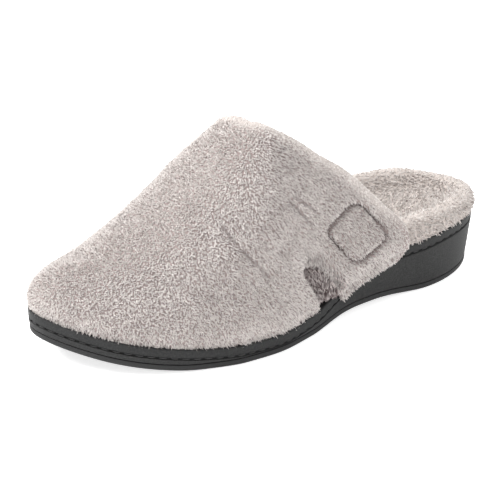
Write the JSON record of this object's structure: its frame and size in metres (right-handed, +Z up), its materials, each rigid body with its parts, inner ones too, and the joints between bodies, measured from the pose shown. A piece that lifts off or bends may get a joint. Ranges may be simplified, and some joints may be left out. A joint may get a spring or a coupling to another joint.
{
  "type": "slipper",
  "caption": "Closed-toe, open-heel slip-on house slipper for the left foot, with a fluffy terry upper, a side notch, a plush footbed and a low wedge sole.",
  "frame": {"origin": "middle of the shoe's box, on the floor that it stands on", "axes": "+X to the toe, +Y to the wearer's left, which is the outer side of this left shoe, +Z up"},
  "size_m": [0.259, 0.1004, 0.1089],
  "materials": {
    "foam": "matt dark grey moulded foam",
    "rubber": "matt dark grey rubber",
    "terry": "fluffy light taupe-grey terry",
    "plush": "soft pale grey plush"
  },
  "bodies": {
    "root": {"midsole": "foam", "outsole": "rubber", "upper": "terry", "side_underlay": "terry", "footbed": "plush"}
  },
  "joints": []
}
